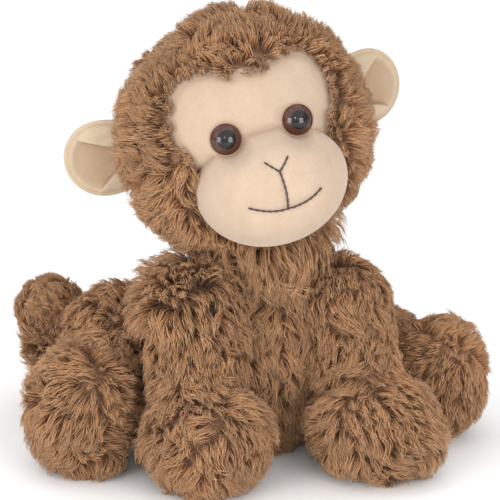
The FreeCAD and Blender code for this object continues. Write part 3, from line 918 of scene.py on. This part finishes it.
def build_muzzle():
    """The puffed muzzle: a stuffed form, pulled in by its stitches and pressed by the eyes."""
    rows, columns = 70, 180
    pole = np.linspace(0.004, math.radians(112), rows)[:, None]
    turn = np.linspace(0, 2 * math.pi, columns, endpoint=False)[None, :]
    x = (MUZZLE_SEMI[0] * np.sin(pole) * np.cos(turn)).ravel()
    z = (MUZZLE_AT[1] + MUZZLE_SEMI[1] * np.sin(pole) * np.sin(turn)).ravel()
    y = (MUZZLE_AT[0] - MUZZLE_SEMI[1] * np.cos(pole) + 0 * turn).ravel()
    facing = ramp_up(-y + MUZZLE_AT[0], 0, 12)
    y = y + muzzle_dent(x, z) * facing
    y += 0.5 * waves(np.stack([x, y, z], axis=1), 30.0, 8)[:, 0] * facing
    eye = eye_gap(x, z)
    rest = eye_seat(x, z) + 0.25
    press = 1 - ramp_up(eye, EYE_RADIUS + 0.4, EYE_RADIUS + 4.0)
    y += press * np.maximum(rest - y, 0)
    gap = y - face_depth(x, z)
    # tone is painted shade: darker in the upper crease where the muzzle meets the face, round the eyes
    # and in the stitch dents.
    crease = fold(np.maximum(-gap, 0), 2.2)
    tone = 0.4 * crease * (z > -8) + 0.5 * fold(np.maximum(eye - EYE_RADIUS, 0), 1.3)
    tone += 0.25 * fold(muzzle_dent(x, z) - 0.8, 0.3) * facing
    outer = np.stack([x, y, z], axis=1)
    count = len(outer)
    faces = [face[::-1] for face in grid_faces(rows, columns)]
    faces.append(tuple(range(columns)))
    faces.append(tuple(count - 1 - i for i in range(columns)))
    mesh = mesh_from("muzzle_cloth", from_head(outer), [face[::-1] for face in faces])
    smooth(mesh)
    layer = mesh.attributes.new("tone", "FLOAT", "POINT")
    layer.data.foreach_set("value", tone.astype(np.float32))
    piece = new_object("muzzle_cloth", mesh, FACE)
    held = np.maximum(fold(np.maximum(eye - EYE_RADIUS, 0), 2.5), fold(gap, 2.5))
    held = np.maximum(held, np.maximum(np.clip(muzzle_dent(x, z) / 0.7, 0, 1) * facing, gap > 0))
    inflate(piece, held, MUZZLE_PRESSURE, MUZZLE_PUFF)
    return piece


def stitched_line(x, z):
    """Back stitches along a line over the muzzle: short twisted runs of thread, end to end."""
    y = [muzzle_front(a, b) for a, b in zip(x, z)]
    path = np.stack([x, y, z], axis=1)
    run = np.append(0, np.cumsum(np.linalg.norm(np.diff(path, axis=0), axis=1)))
    count = max(1, round(run[-1] / STITCH_LENGTH))
    co, faces = [], []
    rings, sides = 9, 10
    for number in range(count):
        s = np.linspace(number - 0.06, number + 1.06, rings) / count * run[-1]
        line = np.stack([np.interp(s, run, path[:, i]) for i in range(3)], axis=1)
        t = np.linspace(0, 1, rings)
        line[:, 1] -= 0.12 + 0.38 * np.sin(math.pi * t)
        ahead = unit(np.gradient(line, axis=0))
        across = unit(np.cross(ahead, [0.0, 1.0, 0.0]))
        other = np.cross(ahead, across)
        around = np.linspace(0, 2 * math.pi, sides, endpoint=False)
        width = THREAD_RADIUS * np.maximum(np.sin(math.pi * (0.04 + 0.92 * t)), 0) ** 0.4
        lobes = 1 + 0.16 * np.cos(2 * (around[None, :] + 7.0 * t[:, None]))
        swing = (np.cos(around)[None, :, None] * across[:, None]
                 + np.sin(around)[None, :, None] * other[:, None])
        tube = line[:, None] + swing * (width[:, None] * lobes)[..., None]
        start = sum(len(c) for c in co)
        co.append(tube.reshape(-1, 3))
        faces += [tuple(i + start for i in face) for face in grid_faces(rings, sides)]
        faces.append(tuple(start + sides - 1 - i for i in range(sides)))
        faces.append(tuple(start + (rings - 1) * sides + i for i in range(sides)))
    return np.concatenate(co), faces


def embroidery(name, lines, node):
    co, faces = [], []
    for x, z in lines:
        own, own_faces = stitched_line(x, z)
        start = sum(len(c) for c in co)
        co.append(own)
        faces += [tuple(i + start for i in face) for face in own_faces]
    mesh = mesh_from(name, from_head(np.concatenate(co)), faces)
    smooth(mesh)
    piece = new_object(name, mesh, THREAD)
    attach(piece, "head")
    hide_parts(node)


def straight(start, end, bow=0.0):
    t = np.linspace(0, 1, 24)
    x = start[0] + (end[0] - start[0]) * t + bow * np.sin(math.pi * t)
    return x, start[1] + (end[1] - start[1]) * t


def ear_place(side):
    """From the ear's frame, outwards, back and up in millimetres, to the row frame."""
    sign = SIDES[side]
    sweep = math.radians(EAR_SWEEP)

    def place(p):
        outwards, back = p[:, 0], p[:, 1]
        x = sign * (EAR_HINGE[0] + outwards * math.cos(sweep) - back * math.sin(sweep))
        y = EAR_HINGE[1] + outwards * math.sin(sweep) + back * math.cos(sweep)
        return from_head(np.stack([x, y, EAR_HINGE[2] + p[:, 2]], axis=1))
    return place


def ear_inside(x, z):
    long = np.where(x > EAR_CENTRE, EAR_RADIUS, 1.45 * EAR_RADIUS)
    return (((x - EAR_CENTRE) / long) ** 2 + (z / EAR_RADIUS) ** 2 < 1) & (x > -8)


def ear_front(upper, lower):
    """The hollow of the ear between an upper and a lower fold, with a rolled rim."""
    def front(x, z, margin):
        pillow = 3.0 * np.sqrt(np.clip(margin / 5.0, 0, 1))
        near = 1 - ramp_up(x, 13, 25)
        above = z - (upper[0] + upper[1] * x + upper[2] * x ** 2)
        below = (lower[0] + lower[1] * x + lower[2] * x ** 2) - z
        flap_up = ramp_up(above, -0.7, 1.1) * near * np.exp(-np.maximum(above, 0) / 12)
        flap_low = ramp_up(below, -0.7, 1.1) * near * np.exp(-np.maximum(below, 0) / 12)
        hollow = np.clip(1 - ramp_up(above, -0.8, 0.6) - ramp_up(below, -0.8, 0.6), 0, 1)
        inward = ramp_up(margin, 2.0, 9.0)
        lift = 2.2 * (flap_up + flap_low) * ramp_up(margin, 0, 6) - 1.9 * hollow * inward
        seam = 0.5 * fold(margin - 2.2, 0.8)
        ruck = 0.25 * np.sin(z * 0.9 + 0.2 * x) * (1 - ramp_up(x, 2, 14))
        # tone is painted shade: darker in the hollow, along the two folds and in the seam by the rim.
        tone = 0.62 * hollow * inward * (1 - 0.45 * ramp_up(x, 10, 27))
        tone += 0.75 * fold(above, 0.7) * near * inward + 0.75 * fold(below, 0.7) * near * inward
        tone += 0.25 * fold(margin - 2.2, 0.8)
        return -(pillow + lift - seam + ruck), np.clip(tone, 0, 1)
    return front


def ear_back(x, z, margin):
    pillow = 3.0 * np.sqrt(np.clip(margin / 5.0, 0, 1))
    seam = 0.5 * fold(margin - 2.2, 0.8)
    # The second value is painted shade in the seam by the rim.
    return pillow - seam, 0.25 * fold(margin - 2.2, 0.8)


def build_ear(side, upper, lower):
    """Front and back panels of one ear, each a padded patch that meets the other at the rim."""
    place = ear_place(side)
    front = padded_patch("ear_front_cloth_" + side, ear_inside, (EAR_CENTRE, 0.0), 0.0,
                         ear_front(upper, lower), EAR_CLOTH, EAR, place)
    back = padded_patch("ear_back_cloth_" + side, ear_inside, (EAR_CENTRE, 0.0), 0.0,
                        ear_back, -EAR_CLOTH, EAR, place)
    for piece, node in ((front, "ear_front_" + side), (back, "ear_back_" + side)):
        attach(piece, "ear_" + side)
        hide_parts(node)


brow = padded_patch("brow_cloth", brow_inside, (0.0, 18.0), 5.0, brow_front, 1.6, FACE, from_head)
muzzle = build_muzzle()
for piece, nodes in ((brow, ["face_panel"]), (muzzle, ["muzzle_panel", "muzzle_stuffing"])):
    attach(piece, "head")
    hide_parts(*nodes)
co, _, tris = mesh_arrays(muzzle.data)
muzzle_tree = BVHTree.FromPolygons(to_head(co).tolist(), tris.tolist())
wing_x, wing_z = NOSE_WING
embroidery("nose_thread", [straight((-wing_x, wing_z), (0, NOSE_POINT)),
                           straight((wing_x, wing_z), (0, NOSE_POINT)),
                           straight((0, NOSE_POINT), (0, MOUTH_LOW), 0.6)], "nose_stitching")
smile_x = np.linspace(-MOUTH_HALF, MOUTH_HALF, 60)
embroidery("mouth_thread", [(smile_x, mouth_line(smile_x))], "mouth_stitching")
build_ear("left", (1.0, 1.05, -0.012), (-9.0, 0.1, -0.02))
build_ear("right", (5.5, 0.28, 0.007), (-6.5, -0.5, -0.02))


def high_right(roots, low, high, value, more):
    """A length that grows towards the toy's right shoulder, where the pile stands up."""
    x, z = roots[:, 0] / MM, roots[:, 2] / MM
    share = ramp_up(z, low, high) * (ramp_up(-x, 16, 42) + 0.45 * ramp_up(x, 20, 44))
    return (value + more * share) * MM


def neck_share(roots):
    """0 on the toy's left of the neck to 1 on its right."""
    return ramp_up(-roots[:, 0] / MM, -30, 25)


def arm_pile(side, value, more):
    """Longer over the right shoulder, shorter down the outer side of the left upper arm."""
    def measure(roots):
        if side == "right":
            return high_right(roots, 76, 98, value, more)
        x, z = (roots - shoulder_of["left"])[:, 0] / MM, roots[:, 2] / MM
        upper_arm = ramp_up(x, -10, 14) * ramp_up(z, 48, 66)
        hand = ramp_up(x, 8, 28) * ramp_up(-z, -44, -26)
        return (value + more * (0.5 * hand - 0.65 * upper_arm)) * MM
    return measure


def leg_pile(side, value, less):
    """A little shorter all over the left leg."""
    return even((value - (less if side == "left" else 0.0)) * MM)


def tip_pile(value, more):
    """Short on top of the tail's end and longer below."""
    def measure(roots):
        return (value + more * ramp_up((tail_tip[2] - roots[:, 2]) / MM, -8, 18)) * MM
    return measure


shoulder_of = {side: joint_at("arm_raise_" + side) for side in SIDES}
tail_tip = box_centre("tail_tip_stuffing")


def chest_pile(value, more):
    """Longer near the right shoulder, where the pile fills the hollow under the chin."""
    return lambda roots: high_right(roots, 86, 106, value, more)


def neck_pile(value, more):
    return lambda roots: (value + more * neck_share(roots)) * MM


def near_neck_joint(roots, normals):
    return np.abs(roots[:, 2] - joint_at("neck_turn")[2]) < 18 * MM


def round_the_face(roots):
    x, _, z = to_head(roots).T
    return np.arctan2(x, z)


pressed_on_torso = [skins["arm_" + side] for side in SIDES] + [skins["leg_" + side] for side in SIDES]
pressed_on_torso += [skins["neck"], skins["tail_base"]]
grow_fur("torso_fur", "torso", skins["torso"], FUR, downwards(), chest_pile(16.0, 6.0),
         chest_pile(7.6, 8.0), 11, clear_of(pressed_on_torso))
grow_fur("neck_fur", "neck_band", skins["neck"], FUR, downwards(1.2), neck_pile(26, 6),
         neck_pile(15, 3), 12, near_neck_joint)
grow_fur("head_fur", "head", skins["head"], FUR, head_comb, head_length, head_lift, 13,
         head_keep, round_the_face)
for side, sign in SIDES.items():
    hand = box_centre("hand_stuffing_" + side)
    foot = box_centre("foot_stuffing_" + side)
    hand_whorl = hand + np.array([-3.0, 4.0, 38.0]) * MM
    foot_whorl = foot + np.array([4.0, -26.0, 26.0]) * MM
    grow_fur("arm_fur_" + side, "arm_" + side, skins["arm_" + side], FUR,
             paw_comb(shoulder_of[side], hand, hand_whorl),
             arm_pile(side, 13.8, 8.0), arm_pile(side, 7.8, 8.0), 20 + sign)
    grow_fur("leg_fur_" + side, "leg_" + side, skins["leg_" + side], FUR,
             paw_comb(joint_at("leg_swing_" + side), foot, foot_whorl),
             leg_pile(side, 13.8, 2.0), leg_pile(side, 8.0, 2.8), 30 + sign)
grow_fur("tail_base_fur", "tail_base", skins["tail_base"], FUR,
         from_point(joint_at("tail_swing")), even(16 * MM), even(8 * MM), 40)
grow_fur("tail_tip_fur", "tail_tip", skins["tail_tip"], FUR,
         from_point(joint_at("tail_curl")), tip_pile(9, 10), tip_pile(2.4, 9), 41)

RIDES = {"torso": "torso", "neck": "neck_band", "head": "head", "tail_base": "tail_base",
         "tail_tip": "tail_tip"}
for side in SIDES:
    RIDES["arm_" + side] = "arm_" + side
    RIDES["leg_" + side] = "leg_" + side
for name, skin in skins.items():
    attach(skin, RIDES[name])

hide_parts("torso_front_panel", "torso_back_panel")
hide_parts("neck_cover")
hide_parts("head_gusset", "head_panel_left", "head_panel_right",
            "head_stuffing")
for side in SIDES:
    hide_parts("arm_front_panel_" + side, "arm_back_panel_" + side,
                "hand_top_" + side, "hand_palm_" + side)
    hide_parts("leg_upper_panel_" + side, "leg_lower_panel_" + side,
                "foot_sole_" + side, "foot_heel_" + side)
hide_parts("tail_base_cover")
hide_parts("tail_tip_cover")


# ---- camera, lights and floor --------------------------------------------------------------
AIM = Vector((-13.5, -32.0, 125.0)) * MM
AZIMUTH, ELEVATION, DISTANCE, LENS = -13.5, 16.0, 1.1, 144.5
SUN_POWER = 1.75
SUN_SPREAD = 120            # degrees across, very soft
WORLD_POWER = 0.6


def looking(azimuth, elevation, distance):
    """A place at that distance from the aim, azimuth 0 in front of the toy."""
    a, e = math.radians(azimuth), math.radians(elevation)
    back = Vector((math.sin(a) * math.cos(e), -math.cos(a) * math.cos(e), math.sin(e)))
    return Matrix.Translation(AIM + back * distance) @ back.to_track_quat("Z", "Y").to_matrix().to_4x4()


def add_camera():
    data = bpy.data.cameras.new("camera")
    data.lens, data.sensor_width = LENS, 36.0
    data.clip_start, data.clip_end = 0.05, 50.0
    camera = bpy.data.objects.new("camera", data)
    bpy.context.scene.collection.objects.link(camera)
    camera.matrix_world = looking(AZIMUTH, ELEVATION, DISTANCE)
    bpy.context.scene.camera = camera


def add_light(name, azimuth, elevation, distance, wide, tall, power):
    data = bpy.data.lights.new(name, "AREA")
    data.shape, data.size, data.size_y = "RECTANGLE", wide, tall
    data.energy = power
    light = bpy.data.objects.new(name, data)
    bpy.context.scene.collection.objects.link(light)
    light.matrix_world = looking(azimuth, elevation, distance)


def add_sun():
    """One very soft light from the upper front left, even over the whole floor."""
    data = bpy.data.lights.new("large_soft_light", "SUN")
    data.angle = math.radians(SUN_SPREAD)
    data.energy = SUN_POWER
    light = bpy.data.objects.new("large_soft_light", data)
    bpy.context.scene.collection.objects.link(light)
    light.matrix_world = looking(-30, 62, 2.0)


def add_floor():
    half = 6.0
    mesh = mesh_from("floor", [(-half, -half, 0), (half, -half, 0), (half, half, 0), (-half, half, 0)],
                     [(0, 1, 2, 3)])
    m = Nodes("pale_floor")
    m.shade(Roughness=0.9)
    floor = new_object("floor", mesh, m.colour(
        m.ramp(m.noise(3.0), (0.3, (0.94, 0.94, 0.94)), (0.7, (0.96, 0.96, 0.96)))))


add_camera()
add_light("softbox_left", -50, 5, 1.25, 0.56, 0.74, 8.2)
add_light("softbox_right", 23, 5, 1.25, 0.56, 0.74, 8.2)
add_light("spot_of_light", -13.5, 24, 1.2, 0.06, 0.06, 0.9)
add_sun()
add_floor()
world = bpy.data.worlds.new("studio")
world.use_nodes = True
world.node_tree.nodes["Background"].inputs["Color"].default_value = (1.0, 1.0, 1.0, 1.0)
world.node_tree.nodes["Background"].inputs["Strength"].default_value = WORLD_POWER
bpy.context.scene.world = world
bpy.context.scene.view_settings.view_transform = "Standard"
